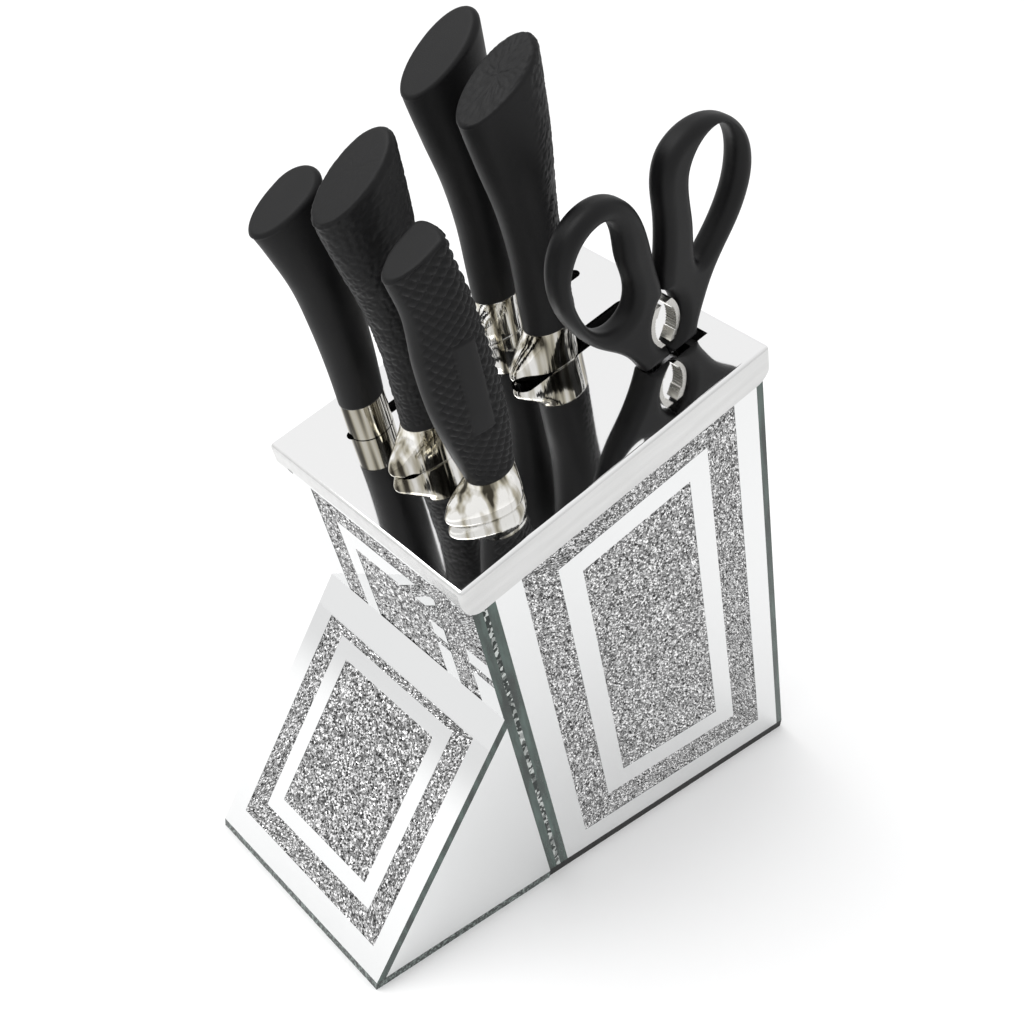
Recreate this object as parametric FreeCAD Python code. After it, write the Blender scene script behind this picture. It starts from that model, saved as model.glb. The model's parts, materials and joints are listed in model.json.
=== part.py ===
import FreeCAD, Part
import math
import os

# Knife block with six tools, built from mirrored glass, crushed crystal and
# boards. Row frame: X runs from the wedge's toe to the heel, Y across, Z up.
# The origin is the middle of the footprint, on the surface the block stands on.
# "Block" coordinates (v, y, u) lean with the block: v runs backwards along the
# cap, y across, u up along the knives; u = 0 is the cap's polished top.

V = FreeCAD.Vector
ROT_Y = V(0, 1, 0)

# ---- driving dimensions, mm ----
lean = 19.1                 # the block leans this many degrees towards the wedge
cap_length = 150.0
cap_width = 109.0
cap_height = 183.6          # height of the cap's front top edge
cap_sheet = 1.2
side_skirt = 14.7
end_skirt = 7.0
cap_round = 1.7
base_thick = 4.0
glass = 4.0
crystal = 2.0
inlay = 2.0                 # depth of the crystal inlays in the cover sheet's face
backing = 4.0
front_overhang = 3.5        # cap's edge to the front cover glass
rear_overhang = 2.7
side_overhang = 2.0
rear_glass = 3.5
side_board = 5.0
end_board = 6.0
top_board = 6.0
floor_board = 6.0
top_gap = 1.4               # underside of the cap's sheet, with its glue
slope_angle = 63.4
wedge_apex = 111.6          # height where the slope meets the block
wedge_half = 53.0
wedge_backing = 3.0

row_near = -31.5            # y of the three slot rows
row_mid = 2.3
row_far = 32.55
slot_wide = 9.6
slot_narrow = 5.1

# ---- derived dimensions ----
sin_l = math.sin(math.radians(lean))
cos_l = math.cos(math.radians(lean))
half_y = cap_width / 2 - side_overhang
front_v = front_overhang
stack = glass + crystal + backing
inner_v0 = front_v + stack
rear_v = cap_length - rear_overhang
inner_v1 = rear_v - rear_glass
board_y = half_y - stack
bay_y = board_y - side_board
bay_v0 = inner_v0 + end_board
bay_v1 = inner_v1 - end_board
board_top = -(top_gap + top_board)


def raw_x(v, z):
    """X, before centring, where the line v = const crosses height z."""
    return (v - (z - cap_height) * sin_l) / cos_l


apex_x = raw_x(front_v, wedge_apex)
toe_x = apex_x - (wedge_apex - base_thick) / math.tan(math.radians(slope_angle))
heel_x = raw_x(rear_v, base_thick)
shift_x = -(toe_x + heel_x) / 2
LEAN = FreeCAD.Placement(V(shift_x, 0, cap_height), FreeCAD.Rotation(ROT_Y, -lean))


# ---- helpers ----
def lean_shape(shape):
    """Takes a shape from block coordinates to the row frame."""
    moved = shape.copy()
    moved.Placement = LEAN.multiply(moved.Placement)
    return moved


def block_box(v0, v1, y0, y1, u0, u1):
    return Part.makeBox(v1 - v0, y1 - y0, u1 - u0, V(v0, y0, u0))


def above(shape, z):
    """Keeps the part of a row-frame shape that is above height z."""
    keep = Part.makeBox(800, 400, 800, V(-400, -200, z))
    return shape.common(keep)


def prism(points, y0, y1):
    """A solid with an outline in the XZ plane, from y0 to y1."""
    outline = [V(x, y0, z) for x, z in points]
    face = Part.Face(Part.makePolygon(outline + outline[:1]))
    return face.extrude(V(0, y1 - y0, 0))


def ring(outer, inner):
    return outer.cut(inner)


def save(name, shape):
    solids = shape.Solids
    if len(solids) == 1:
        shape = solids[0]
    assert shape.isValid() and shape.Volume > 0, name
    shape.exportStep("parts/%s.step" % name)


def world_x(v, z):
    return raw_x(v, z) + shift_x


def ground_u(v, z):
    """u on the line v = const at height z."""
    return (z - cap_height - v * sin_l) / cos_l


# ---- decorated panels ----
# Each panel is a silvered cover sheet with a crushed-crystal frame and centre
# inlaid in its face, a crystal bed behind it, and a backing sheet. The three
# insets are the frame's outside, the frame's inside and the centre.
def side_quad(inset, drop, rise):
    """Four corners of a side pattern: drop below the cap, rise above the base."""
    v0 = inner_v0 + inset
    v1 = inner_v1 - inset
    low = base_thick + rise
    top0 = LEAN.multVec(V(v0, 0, -drop))
    top1 = LEAN.multVec(V(v1, 0, -drop))
    return [(world_x(v0, low), low), (world_x(v1, low), low), (top1.x, top1.z), (top0.x, top0.z)]


SIDE_INSETS = ((12.1, 17.4, 11.8), (27.4, 27.0, 26.4), (37.6, 37.0, 37.0))


def side_panel(name, outer_y, inward):
    """inward is +1 for the near side and -1 for the far side."""
    def layer(depth0, depth1, points):
        y0 = outer_y + inward * depth0
        y1 = outer_y + inward * depth1
        return prism(points, min(y0, y1), max(y0, y1))

    full = side_quad(0, top_gap, 0)
    quads = [side_quad(*inset) for inset in SIDE_INSETS]
    frame = ring(layer(0, inlay, quads[0]), layer(0, inlay, quads[1]))
    centre = layer(0, inlay, quads[2])
    save(name + "_cover_glass", layer(0, glass, full).cut(frame).cut(centre))
    save(name + "_crystal_frame", frame)
    save(name + "_crystal_centre", centre)
    save(name + "_crystal_bed", layer(glass, glass + crystal, full))
    save(name + "_backing_mirror", layer(glass + crystal, stack, full))


FRONT_INSETS = ((12.0, 17.4, 11.8), (24.0, 27.0, 26.4), (32.0, 37.0, 37.0))


def front_panel():
    def layer(v0, v1, inset, drop, low):
        half = half_y - inset
        return block_box(v0, v1, -half, half, low, -drop)

    bed_v = front_v + glass
    backing_v = bed_v + crystal
    deep = ground_u(front_v, 0) - 20
    solids = []
    for inset, drop, rise in FRONT_INSETS:
        low = ground_u(front_v, base_thick + rise)
        solids.append(layer(front_v, front_v + inlay, inset, drop, low))
    frame = ring(solids[0], solids[1])
    cover = layer(front_v, bed_v, 0, top_gap, deep).cut(frame).cut(solids[2])
    save("front_cover_glass", above(lean_shape(cover), base_thick))
    save("front_crystal_frame", lean_shape(frame))
    save("front_crystal_centre", lean_shape(solids[2]))
    sheets = (("front_crystal_bed", bed_v, backing_v), ("front_backing_mirror", backing_v, inner_v0))
    for name, v0, v1 in sheets:
        save(name, above(lean_shape(layer(v0, v1, 0, top_gap, deep)), base_thick))


# ---- wedge ----
toe = (toe_x + shift_x, base_thick)
apex = (apex_x + shift_x, wedge_apex)
corner = (world_x(front_v, base_thick), base_thick)
slope_len = (wedge_apex - base_thick) / math.sin(math.radians(slope_angle))
SLOPE = FreeCAD.Placement(V(toe[0], 0, toe[1]), FreeCAD.Rotation(ROT_Y, -slope_angle))
# along the slope from the toe, and half widths: frame outside, frame inside, centre
SLOPE_PATTERN = ((10.6, 106.2, 44.1), (20.6, 102.6, 34.5), (28.0, 95.4, 27.4))


def slope_box(along0, along1, half, depth0, depth1):
    """depth runs inward from the slope's face."""
    box = Part.makeBox(along1 - along0, 2 * half, depth1 - depth0, V(along0, -half, -depth1))
    box.Placement = SLOPE.multiply(box.Placement)
    return box


def wedge():
    body = prism([toe, corner, apex], -wedge_half, wedge_half)
    reach = 40.0
    inner_half = wedge_half - glass
    cover = slope_box(-reach, slope_len + reach, wedge_half, 0, glass)
    crystal_end = glass + crystal
    stack_end = crystal_end + wedge_backing
    rings = [slope_box(a, b, half, 0, inlay) for a, b, half in SLOPE_PATTERN]
    frame = ring(rings[0], rings[1])
    save("slope_cover_glass", body.common(cover).cut(frame).cut(rings[2]))
    save("slope_crystal_frame", frame)
    save("slope_crystal_centre", rings[2])
    inner = prism([toe, corner, apex], -inner_half, inner_half)
    mirror = slope_box(-reach, slope_len + reach, inner_half, crystal_end, stack_end)
    save("slope_backing_mirror", inner.common(mirror))
    bed = slope_box(-reach, slope_len + reach, inner_half, glass, crystal_end)
    save("slope_crystal_bed", inner.common(bed))
    outer_stack = slope_box(-reach, slope_len + reach, wedge_half, 0, stack_end)
    core = inner.cut(outer_stack)
    save("wedge_core", core)
    side = body.cut(cover)
    save("wedge_near_mirror", side.common(block_box(-400, 400, -wedge_half, -inner_half, -400, 400)))
    save("wedge_far_mirror", side.common(block_box(-400, 400, inner_half, wedge_half, -400, 400)))
    length = corner[0] - toe[0]
    plate = Part.makeBox(length, 2 * wedge_half, base_thick, V(toe[0], -wedge_half, 0))
    save("wedge_base_glass", plate)


# ---- block body ----
def boards():
    deep = -400

    def wall(v0, v1, y0, y1, low=base_thick):
        return above(lean_shape(block_box(v0, v1, y0, y1, deep, board_top)), low)

    save("near_board", wall(inner_v0, inner_v1, -board_y, -bay_y))
    save("far_board", wall(inner_v0, inner_v1, bay_y, board_y))
    save("front_board", wall(inner_v0, bay_v0, -bay_y, bay_y))
    save("rear_board", wall(bay_v1, inner_v1, -bay_y, bay_y))
    floor_top = base_thick + floor_board
    slab = Part.makeBox(800, 2 * bay_y, floor_board, V(-400, -bay_y, base_thick))
    save("floor_board", slab.common(lean_shape(block_box(bay_v0, bay_v1, -bay_y, bay_y, deep, 0))))
    for name, y0, y1 in (("near_divider", -13.0, -9.0), ("far_divider", 17.0, 21.0)):
        save(name, wall(bay_v0, bay_v1, y0, y1, floor_top))
    rear = lean_shape(block_box(inner_v1, rear_v, -half_y, half_y, deep, -top_gap))
    save("rear_mirror", above(rear, base_thick))
    start = world_x(front_v, base_thick)
    pad = Part.makeBox(heel_x + shift_x - start, 2 * half_y, base_thick, V(start, -half_y, 0))
    save("base_pad", pad)


def slot(v0, v1, y, width, u0=-40, u1=10):
    """A slot with round ends."""
    radius = width / 2
    bar = block_box(v0 + radius, v1 - radius, y - radius, y + radius, u0, u1)
    for v in (v0 + radius, v1 - radius):
        bar = bar.fuse(Part.makeCylinder(radius, u1 - u0, V(v, y, u0)))
    return bar.removeSplitter()


steel_v = 30.6
steel_y = 31.5
shears_y = -26.5            # middle of the shears' thickness
shears_half = 5.3
pivot_v = 124.3
pivot_u = -6.0
neck_v0 = 112.0
neck_v1 = 138.5
neck_half = 4.4             # half width of the shears' slot in front of the pivot
swing_half = 5.8            # and behind it, where the rear half swings
open_room = 2.6             # how far that slot runs on behind the shears
rod_hole = 5.0
front_slot_start = 20.9
front_slot_end = 64.0
near_slot_end = 45.5
rear_slot_end = 137.2


def all_slots():
    u0, u1 = -40, 10
    cuts = [
        slot(front_slot_start, front_slot_end, row_far, slot_narrow),
        slot(81.0, rear_slot_end, row_far, slot_narrow),
        slot(front_slot_start, front_slot_end, row_mid, slot_wide),
        slot(76.0, rear_slot_end, row_mid, slot_wide),
        slot(front_slot_start, near_slot_end, row_near, slot_wide),
        Part.makeCylinder(rod_hole, u1 - u0, V(steel_v, steel_y, u0)),
        block_box(neck_v0 + 1.5, pivot_v, shears_y - neck_half, shears_y + neck_half, u0, u1),
        block_box(pivot_v, neck_v1 + open_room, shears_y - swing_half, shears_y + swing_half, u0, u1),
    ]
    return Part.makeCompound(cuts)


def cap():
    outer = block_box(0, cap_length, -cap_width / 2, cap_width / 2, -side_skirt, 0)
    top_edges = [e for e in outer.Edges if abs(e.CenterOfMass.z) < 0.01]
    upright = [e for e in outer.Edges if abs(e.Vertexes[0].Z - e.Vertexes[-1].Z) > 1]
    outer = outer.makeFillet(cap_round, top_edges + upright)
    inner = block_box(cap_sheet, cap_length - cap_sheet, cap_sheet - cap_width / 2,
                      cap_width / 2 - cap_sheet, -side_skirt - 1, -cap_sheet)
    inner_up = [e for e in inner.Edges if abs(e.Vertexes[0].Z - e.Vertexes[-1].Z) > 1]
    shell = outer.cut(inner.makeFillet(cap_round - cap_sheet, inner_up))
    # the end skirts are shallower, and the side skirts' lower corners are round
    corner_r = side_skirt - end_skirt
    profile = block_box(-1, cap_length + 1, -cap_width, cap_width, -side_skirt - 1, -end_skirt)
    keep = block_box(corner_r, cap_length - corner_r, -cap_width, cap_width, -side_skirt - 1, 0)
    for v in (corner_r, cap_length - corner_r):
        disc = Part.makeCylinder(corner_r, 2 * cap_width, V(v, -cap_width, -end_skirt), ROT_Y)
        keep = keep.fuse(disc)
    shell = shell.cut(profile.cut(keep))
    middle = block_box(-1, cap_length + 1, -bay_y - 8, bay_y + 8, -side_skirt - 1, -end_skirt)
    shell = shell.cut(middle)
    save("steel_cap", lean_shape(shell.cut(all_slots())))


def slotted_board():
    board = block_box(inner_v0, inner_v1, -board_y, board_y, board_top, -top_gap)
    save("slotted_top_board", lean_shape(board.cut(all_slots())))


# ---- knives and steel ----
def section(centre_v, centre_y, u, front, rear, half, narrow=0.0):
    """A closed curve: a half ellipse at the back and one in front, which narrows."""
    points = []
    count = 20
    for i in range(count):
        angle = 2 * math.pi * i / count
        reach = math.cos(angle)
        v = centre_v + (rear if reach > 0 else front) * reach
        pinch = 1 - narrow * max(0.0, -reach) ** 2
        points.append(V(v, centre_y + half * pinch * math.sin(angle), u))
    curve = Part.BSplineCurve()
    curve.interpolate(points, PeriodicFlag=True)
    return Part.Wire(curve.toShape())


def loft(centre_v, centre_y, rows):
    wires = [section(centre_v, centre_y, *row) for row in rows]
    return Part.makeLoft(wires, True, False)


def slanted_end(solid, centre_v, centre_y, front, rear, front_u, rear_u, rim):
    """Cuts the handle's end on a slant and rounds the rim."""
    angle = math.degrees(math.atan2(rear_u - front_u, front + rear))
    big = Part.makeBox(200, 120, 120, V(-100, -60, 0))
    middle_v = centre_v + (rear - front) / 2
    turn = FreeCAD.Rotation(ROT_Y, -angle)
    big.Placement = FreeCAD.Placement(V(middle_v, centre_y, (front_u + rear_u) / 2), turn)
    cut = solid.cut(big)
    top = max(cut.Faces, key=lambda f: f.CenterOfMass.z)
    return cut.makeFillet(rim, top.Edges)


# u, reach to the front, reach to the rear, half thickness
LARGE_HANDLE = (
    (17.5, 10.9, 10.9, 8.2), (30, 10.6, 10.6, 8.4), (50, 10.3, 10.3, 8.6), (70, 12.1, 11.4, 9.0),
    (90, 15.9, 13.5, 9.7), (110, 19.3, 14.3, 10.1), (140, 21.0, 14.6, 10.2),
)
STEEL_HANDLE = (
    (15.5, 8.6, 9.0, 7.4), (30, 8.5, 10.1, 7.6), (50, 9.2, 10.8, 8.0), (70, 11.1, 10.5, 8.4),
    (90, 15.9, 10.3, 8.9), (105, 20.2, 10.4, 9.2), (125, 23.0, 10.6, 9.3),
)
SMALL_HANDLE = (
    (14.0, 8.8, 9.5, 6.8), (30, 12.3, 11.2, 7.6), (50, 15.4, 11.3, 8.2), (70, 16.1, 9.9, 8.3),
    (90, 15.2, 7.7, 8.2), (105, 17.5, 4.9, 8.0), (125, 19.5, 3.0, 7.8),
)


# the finger guard's profile: height, and reach to the front, on a large knife
GUARD = ((0.3, 19.8), (2.4, 21.2), (4.4, 21.6), (6.2, 21.0), (8.2, 19.4), (10.2, 17.4),
         (12.6, 14.9), (15.0, 12.4), (17.5, 10.9))
nose_pinch = 0.3


def guard_rows(foot, neck_front, neck_rear, neck_half, nose, seat_half):
    """From the seat on the cap, over the guard's nose, up to the handle's foot."""
    rows = []
    top, reach_max = GUARD[-1][0], GUARD[2][1]
    for height, reach in GUARD:
        share = (reach - GUARD[-1][1]) / (reach_max - GUARD[-1][1])
        front = neck_front + share * (nose - neck_front)
        half = neck_half + share * (seat_half - neck_half)
        u = 0.3 + (height - 0.3) * (foot - 0.3) / (top - 0.3)
        rows.append((u, front, neck_rear, half, nose_pinch * share))
    return rows


def turned(shape, v, y, degrees):
    """Turns a tool about its own axis along u."""
    if degrees:
        shape = shape.copy()
        shape.rotate(V(v, y, 0), V(0, 0, 1), degrees)
    return shape


blade_thick = 2.2
tang_wide = 9.0
tang_reach = 62.0           # the tang's length inside a knife's handle
rod_radius = 3.5
rod_length = 175.0
rod_tang = 60.0


def make_blade(kind, v_edge, v_spine, length, centre_v, centre_y, tang_top):
    """A flat blade with a belly, bevelled to a thin edge, and its tang."""
    height = v_spine - v_edge
    y0 = centre_y - blade_thick / 2
    heel, edge_end, tip = V(v_edge, y0, 0), V(v_edge, y0, -length * 0.4), V(v_spine, y0, -length)
    if kind == "bread":
        edge_end = V(v_edge, y0, -length + height * 0.8)
        tip = V(v_spine - height * 0.3, y0, -length)
    spine_low = V(v_spine, y0, -length + (height * 0.5 if kind == "bread" else 0.5))
    belly = V(v_edge + height * 0.18, y0, edge_end.z + (tip.z - edge_end.z) * 0.55)
    edges = [Part.LineSegment(heel, edge_end).toShape(), Part.Arc(edge_end, belly, tip).toShape(),
             Part.LineSegment(tip, spine_low).toShape()]
    spine_top = V(v_spine, y0, 0)
    edges.append(Part.LineSegment(spine_low, spine_top).toShape())
    edges.append(Part.LineSegment(spine_top, heel).toShape())
    plate = Part.Face(Part.Wire(edges)).extrude(V(0, blade_thick, 0))
    bevel = min(height * 0.35, 7.0)
    for side in (-1, 1):
        face_y = centre_y + side * blade_thick / 2
        edge_y = centre_y + side * 0.25
        cutter = [V(v_edge - 1, edge_y, 0), V(v_edge, edge_y, 0), V(v_edge + bevel, face_y, 0),
                  V(v_edge + bevel, face_y + side, 0), V(v_edge - 1, face_y + side, 0)]
        tool = Part.Face(Part.makePolygon(cutter + cutter[:1])).extrude(V(0, 0, -length - 5))
        plate = plate.cut(tool)
    tang = block_box(centre_v - tang_wide / 2, centre_v + tang_wide / 2, y0, y0 + blade_thick,
                     -0.01, tang_top)
    return plate.fuse(tang).removeSplitter()


def scallops(blade, v_edge, length, centre_y, pitch, depth):
    """Rounded serrations along a bread knife's edge."""
    radius = (pitch ** 2 / 4 + depth ** 2) / (2 * depth)
    count = int((length - 30) / pitch)
    cutters = []
    for i in range(count):
        u = -12 - pitch * (i + 0.5)
        start = V(v_edge - radius + depth, centre_y - 5, u)
        cutters.append(Part.makeCylinder(radius, 10, start, ROT_Y))
    return blade.cut(Part.makeCompound(cutters))


# name, blade kind, v of the handle's middle, y, turn, handle, guard's nose and half width,
# v of the blade's edge and spine, blade length
KNIVES = (
    ("carving_knife", "slicer", 39.4, 3.0, 0.0, "large", 21.4, 7.9, 23.0, 45.0, 172.0),
    ("paring_knife", "slicer", 36.8, -31.3, -5.0, "small", 20.4, 10.4, 24.0, 43.0, 95.0),
    ("bread_knife", "bread", 99.0, 33.0, 0.0, "large", 21.4, 7.6, 83.0, 110.0, 190.0),
    ("chef_knife", "chef", 98.9, 4.6, 0.0, "large", 21.9, 7.4, 78.0, 113.0, 185.0),
)


def knife(name, kind, v, y, turn, size, nose, guard_half, v_edge, v_spine, length):
    large = size == "large"
    rows = LARGE_HANDLE if large else SMALL_HANDLE
    foot, front, rear, half = rows[0]
    tang_top = foot + tang_reach
    blade = make_blade(kind, v_edge, v_spine, length, v, y, tang_top)
    bolster = loft(v, y, guard_rows(foot, front, rear, half, nose, guard_half))
    tang_space = block_box(v - tang_wide / 2, v + tang_wide / 2, y - blade_thick / 2,
                           y + blade_thick / 2, -1, tang_top)
    handle = loft(v, y, rows)
    if large:
        handle = slanted_end(handle, v, y, 19.3, 14.4, 110.5, 127.5, 2.2)
    else:
        handle = slanted_end(handle, v, y, 17.6, 4.5, 106.5, 115.5, 1.8)
    if kind == "bread":
        blade = scallops(blade, v_edge, length, y, 7.0, 1.1)
    pieces = {"blade": blade, "bolster": bolster.cut(tang_space), "handle": handle.cut(tang_space)}
    for part, shape in pieces.items():
        save("%s_%s" % (name, part), lean_shape(turned(shape, v, y, turn)))


def sharpening_steel():
    foot, front, rear, half = STEEL_HANDLE[0]
    tang_top = foot + rod_tang
    rod = Part.makeCylinder(rod_radius, rod_length + tang_top, V(steel_v, steel_y, -rod_length))
    tip = [e for e in rod.Edges if abs(e.CenterOfMass.z + rod_length) < 0.01]
    rod = rod.makeFillet(2.5, tip)
    hole = Part.makeCylinder(rod_radius, tang_top + 1, V(steel_v, steel_y, -1))
    ferrule = loft(steel_v, steel_y, ((0.3, front, rear, half), (foot, front, rear, half)))
    handle = slanted_end(loft(steel_v, steel_y, STEEL_HANDLE), steel_v, steel_y,
                         19.3, 10.4, 98.5, 109.0, 2.2)
    save("steel_rod", lean_shape(rod))
    save("steel_ferrule", lean_shape(ferrule.cut(hole)))
    save("steel_handle", lean_shape(handle.cut(hole)))


# ---- shears ----
# Outlines in the plane of the shears, (v, u), as smooth closed curves.
FRONT_LOOP = ((112.0, 0.3), (108.0, 8.0), (101.0, 17.0), (93.0, 25.0), (86.0, 35.0), (81.0, 46.0),
              (79.0, 57.0), (80.5, 68.0), (86.0, 76.5), (94.5, 81.0), (104.0, 81.0),
              (112.0, 76.5), (117.5, 68.5), (120.5, 58.0), (122.0, 46.0), (123.6, 36.0))
FRONT_HOLE = ((85.3, 57.0), (88.5, 66.5), (95.5, 72.5), (104.0, 72.5), (108.5, 65.0),
              (109.2, 52.0), (111.0, 38.0), (108.5, 31.0), (101.5, 28.5), (93.5, 32.5), (87.5, 43.0))
REAR_LOOP = ((138.5, 0.3), (139.0, 4.0), (142.6, 12.0), (147.5, 20.5), (154.0, 28.5), (161.5, 36.0),
             (167.5, 44.0), (171.3, 53.0), (172.0, 62.5), (169.0, 72.0), (162.5, 79.8),
             (153.0, 84.6), (142.5, 85.0), (133.5, 80.5), (129.0, 71.0), (128.5, 58.0),
             (127.3, 46.0), (125.0, 36.0))
REAR_HOLE = ((141.8, 68.0), (145.5, 75.0), (152.0, 79.0), (159.0, 78.5), (163.7, 72.0),
             (164.5, 61.0), (161.0, 50.0), (154.5, 41.0), (147.0, 34.0), (142.5, 31.5),
             (141.0, 38.0), (141.6, 50.0))
lens_half = 7.2             # the nutcracker hole is a lens about v = pivot_v
lens_low = 3.0
lens_high = 30.0
steel_plate = 2.0
jaw_gap = 0.25
plate_gap = 0.05            # between each steel half and the middle of the shears
blade_reach = 105.0         # from the pivot down to the blades' tips
pivot_disc = 5.7
pin_radius = 2.5
running_gap = 0.05
screw_head = 4.2
nut_radius = 4.0
head_high = 1.6
tooth_pitch = 5.0           # degrees
tooth_radius = 0.75
tooth_count = 9
strip_deep = 2.6
insert_half = 2.6


def plane_solid(points, y0, y1, closed_curve):
    """Extrudes an outline of (v, u) points across y."""
    pts = [V(v, y0, u) for v, u in points]
    if closed_curve:
        curve = Part.BSplineCurve()
        curve.interpolate(pts, PeriodicFlag=True)
        wire = Part.Wire(curve.toShape())
    else:
        wire = Part.makePolygon(pts + pts[:1])
    return Part.Face(wire).extrude(V(0, y1 - y0, 0))


def lens(y0, y1):
    middle = (lens_low + lens_high) / 2
    top, low = V(pivot_v, y0, lens_high), V(pivot_v, y0, lens_low)
    left, right = V(pivot_v - lens_half, y0, middle - 2), V(pivot_v + lens_half, y0, middle - 2)
    wire = Part.Wire([Part.Arc(top, left, low).toShape(), Part.Arc(low, right, top).toShape()])
    return Part.Face(wire).extrude(V(0, y1 - y0, 0))


def handle_half(name, outer, hole, inner_v, tang):
    """One plastic handle: its loop, less the finger hole, the lens and the tang."""
    y0, y1 = shears_y - shears_half, shears_y + shears_half
    pts = [V(v, y0, u) for v, u in outer]
    rim = Part.BSplineCurve()
    rim.interpolate(pts)
    top_inner, low_inner = V(inner_v, y0, lens_high), V(inner_v, y0, 0.3)
    edges = [rim.toShape(), Part.LineSegment(pts[-1], top_inner).toShape(),
             Part.LineSegment(top_inner, low_inner).toShape(),
             Part.LineSegment(low_inner, pts[0]).toShape()]
    solid = Part.Face(Part.Wire(edges)).extrude(V(0, y1 - y0, 0))
    solid = solid.cut(plane_solid(hole, y0 - 1, y1 + 1, True))
    solid = solid.cut(lens(y0 - 1, y1 + 1)).cut(tang)
    save(name, lean_shape(solid))


def blade_half(side, y0):
    """A steel half: tang in one handle, blade on the other side of the pivot.
    side is -1 for the front handle and +1 for the rear one."""
    y1 = y0 + steel_plate
    disc = Part.makeCylinder(pivot_disc, steel_plate, V(pivot_v, y0, pivot_u), ROT_Y)
    tang = plane_solid([(pivot_v + side * 0.6, pivot_u + 3), (pivot_v + side * 0.6, 2.2),
                        (pivot_v + side * 8.6, 8.0), (pivot_v + side * 10.6, 20.0),
                        (pivot_v + side * 12.0, 20.0), (pivot_v + side * 10.6, 3.0),
                        (pivot_v + side * 9.0, -3.5), (pivot_v + side * 4.0, pivot_u - 3)],
                       y0, y1, False)
    blade = plane_solid([(pivot_v + side * 3.0, pivot_u + 2), (pivot_v + side * 4.5, pivot_u - 6),
                         (pivot_v + side * 1.2, pivot_u - 16), (pivot_v + side * 0.8, pivot_u - blade_reach),
                         (pivot_v - side * 2.4, pivot_u - blade_reach + 8),
                         (pivot_v - side * 9.0, pivot_u - 30), (pivot_v - side * 10.0, pivot_u - 12),
                         (pivot_v - side * 5.0, pivot_u + 1)],
                        y0, y1, False)
    return disc.fuse([tang, blade]).removeSplitter()


def teeth(side, y0, y1):
    """A toothed steel strip that follows one side of the lens."""
    middle = (lens_low + lens_high) / 2
    half_height = (lens_high - lens_low) / 2
    radius = (half_height ** 2 + lens_half ** 2) / (2 * lens_half)
    centre = pivot_v + side * (lens_half - radius)
    strip = Part.makeCylinder(radius, y1 - y0, V(centre, y0, middle - 2), ROT_Y)
    inner = radius - strip_deep
    strip = strip.cut(Part.makeCylinder(inner, y1 - y0, V(centre, y0, middle - 2), ROT_Y))
    low, high = middle - 2 - 9.0, middle - 2 + 9.5
    near_v, far_v = sorted((pivot_v + side, pivot_v + side * 20))
    side_box = block_box(near_v, far_v, y0, y1, low, high)
    strip = strip.common(side_box)
    cutters = []
    for i in range(tooth_count):
        angle = math.radians(tooth_pitch * (i - (tooth_count - 1) / 2))
        v = centre + side * inner * math.cos(angle)
        u = middle - 2 + inner * math.sin(angle)
        cutters.append(Part.makeCylinder(tooth_radius, y1 - y0 + 2, V(v, y0 - 1, u), ROT_Y))
    return strip.cut(Part.makeCompound(cutters))


def shears():
    near_y = shears_y - steel_plate - plate_gap
    far_y = shears_y + plate_gap
    front_steel = blade_half(-1, near_y)
    rear_steel = blade_half(1, far_y)
    pin_hole = Part.makeCylinder(pin_radius, 30, V(pivot_v, shears_y - 15, pivot_u), ROT_Y)
    running_hole = Part.makeCylinder(pin_radius + running_gap, 30, V(pivot_v, shears_y - 15, pivot_u), ROT_Y)
    insert_y = (shears_y - insert_half, shears_y + insert_half)
    front_teeth = teeth(-1, *insert_y)
    rear_teeth = teeth(1, *insert_y)
    space = block_box(0, pivot_v, near_y, near_y + steel_plate, -20, 22)
    handle_half("shears_front_handle", FRONT_LOOP, FRONT_HOLE, pivot_v - jaw_gap,
                front_steel.common(space).fuse(front_teeth))
    space = block_box(pivot_v, 200, far_y, far_y + steel_plate, -20, 22)
    handle_half("shears_rear_handle", REAR_LOOP, REAR_HOLE, pivot_v + jaw_gap,
                rear_steel.common(space).fuse(rear_teeth))
    save("shears_front_blade", lean_shape(front_steel.cut(pin_hole).cut(front_teeth)))
    save("shears_rear_blade", lean_shape(rear_steel.cut(running_hole).cut(rear_teeth)))
    save("front_nut_teeth", lean_shape(front_teeth))
    save("rear_nut_teeth", lean_shape(rear_teeth))
    head = Part.makeCylinder(screw_head, head_high, V(pivot_v, near_y - head_high, pivot_u), ROT_Y)
    length = far_y + steel_plate + 0.2 - near_y
    pin = Part.makeCylinder(pin_radius, length, V(pivot_v, near_y, pivot_u), ROT_Y)
    save("shears_pivot_screw", lean_shape(head.fuse(pin).removeSplitter()))
    nut_y = far_y + steel_plate + 0.2
    nut = Part.makeCylinder(nut_radius, head_high, V(pivot_v, nut_y, pivot_u), ROT_Y)
    save("shears_pivot_nut", lean_shape(nut))


os.makedirs("parts", exist_ok=True)
side_panel("near", -half_y, 1)
side_panel("far", half_y, -1)
front_panel()
wedge()
boards()
cap()
slotted_board()
for spec in KNIVES:
    knife(*spec)
sharpening_steel()
shears()
print("row shift", round(shift_x, 3), "toe", round(toe[0], 2), "heel", round(heel_x + shift_x, 2))
print("pivot", LEAN.multVec(V(pivot_v, shears_y, pivot_u)), "cap origin", LEAN.multVec(V(0, 0, 0)))
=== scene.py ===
import bpy
import json
import math
import numpy as np
from mathutils import Matrix, Vector, geometry, noise


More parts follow.
